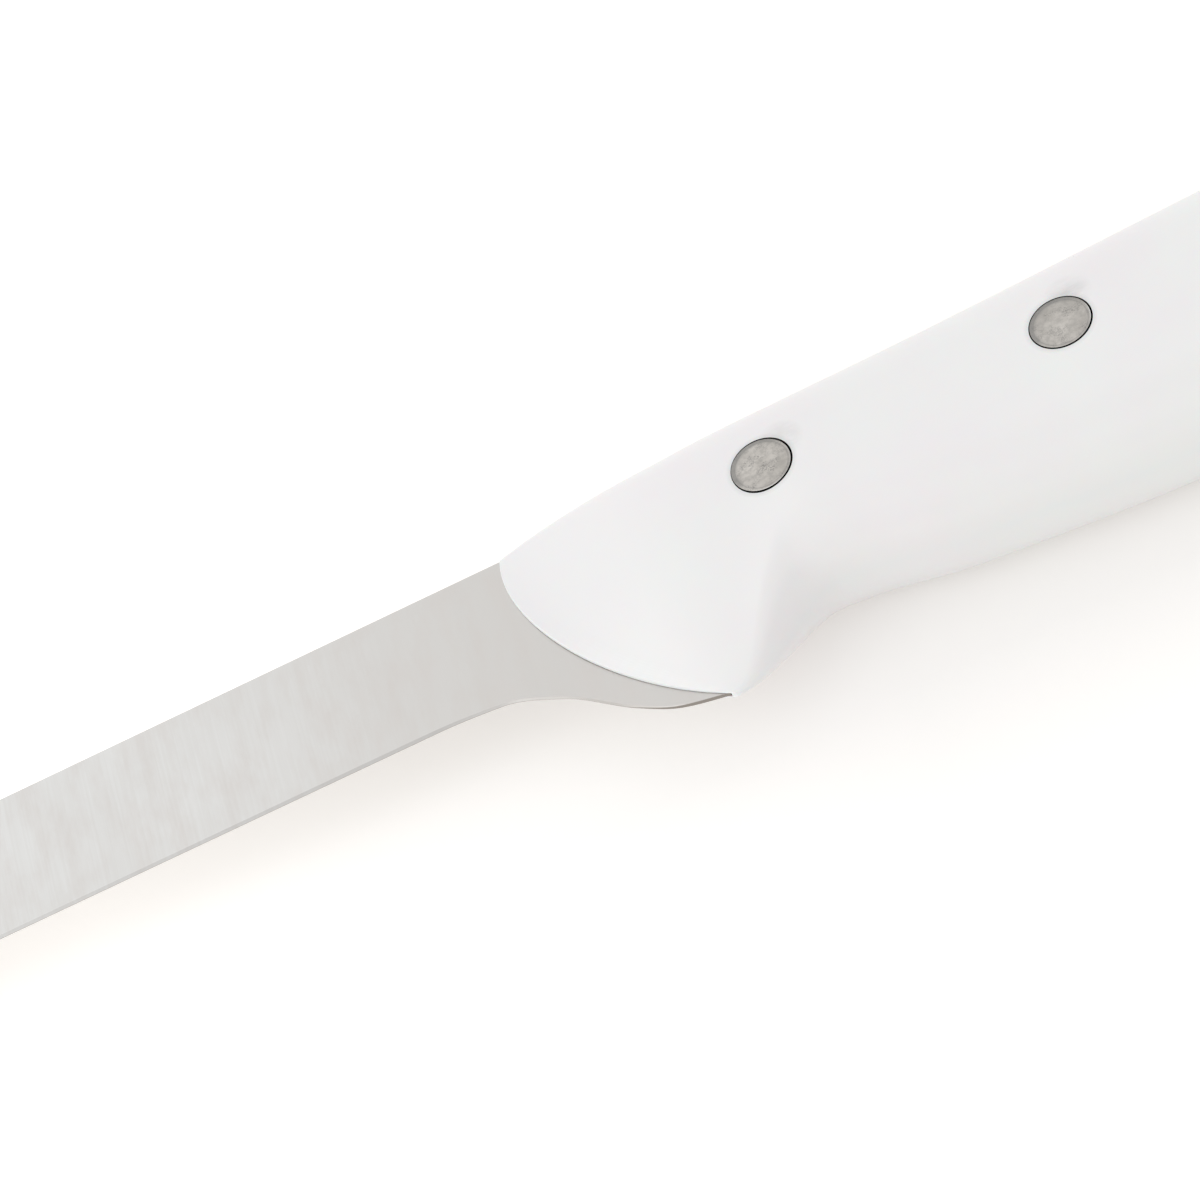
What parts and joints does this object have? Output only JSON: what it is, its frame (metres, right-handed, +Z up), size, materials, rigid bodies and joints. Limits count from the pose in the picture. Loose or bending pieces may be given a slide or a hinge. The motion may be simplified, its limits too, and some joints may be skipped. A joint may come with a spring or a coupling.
{
  "type": "ham knife",
  "caption": "Long narrow slicing knife with a flared steel heel, a hidden tang and a riveted white handle with a finger guard.",
  "frame": {"origin": "on the lower handle scale's flat side, in the row of rivets, midway between the front and middle rivets", "axes": "+X towards the butt and -X towards the blade's tip, +Y from the cutting edge towards the blade's back, +Z up through the thickness of the knife as it lies on its side"},
  "size_m": [0.4055, 0.0325, 0.016],
  "materials": {
    "blade": "satin ground stainless steel",
    "handle": "satin white moulded plastic",
    "rivet": "dull, ground flush"
  },
  "bodies": {
    "root": {"blade": "blade", "upper_handle_scale": "handle", "lower_handle_scale": "handle", "front_rivet_tube": "rivet", "front_rivet_pin": "rivet", "middle_rivet_tube": "rivet", "middle_rivet_pin": "rivet", "rear_rivet_tube": "rivet", "rear_rivet_pin": "rivet"}
  },
  "joints": []
}
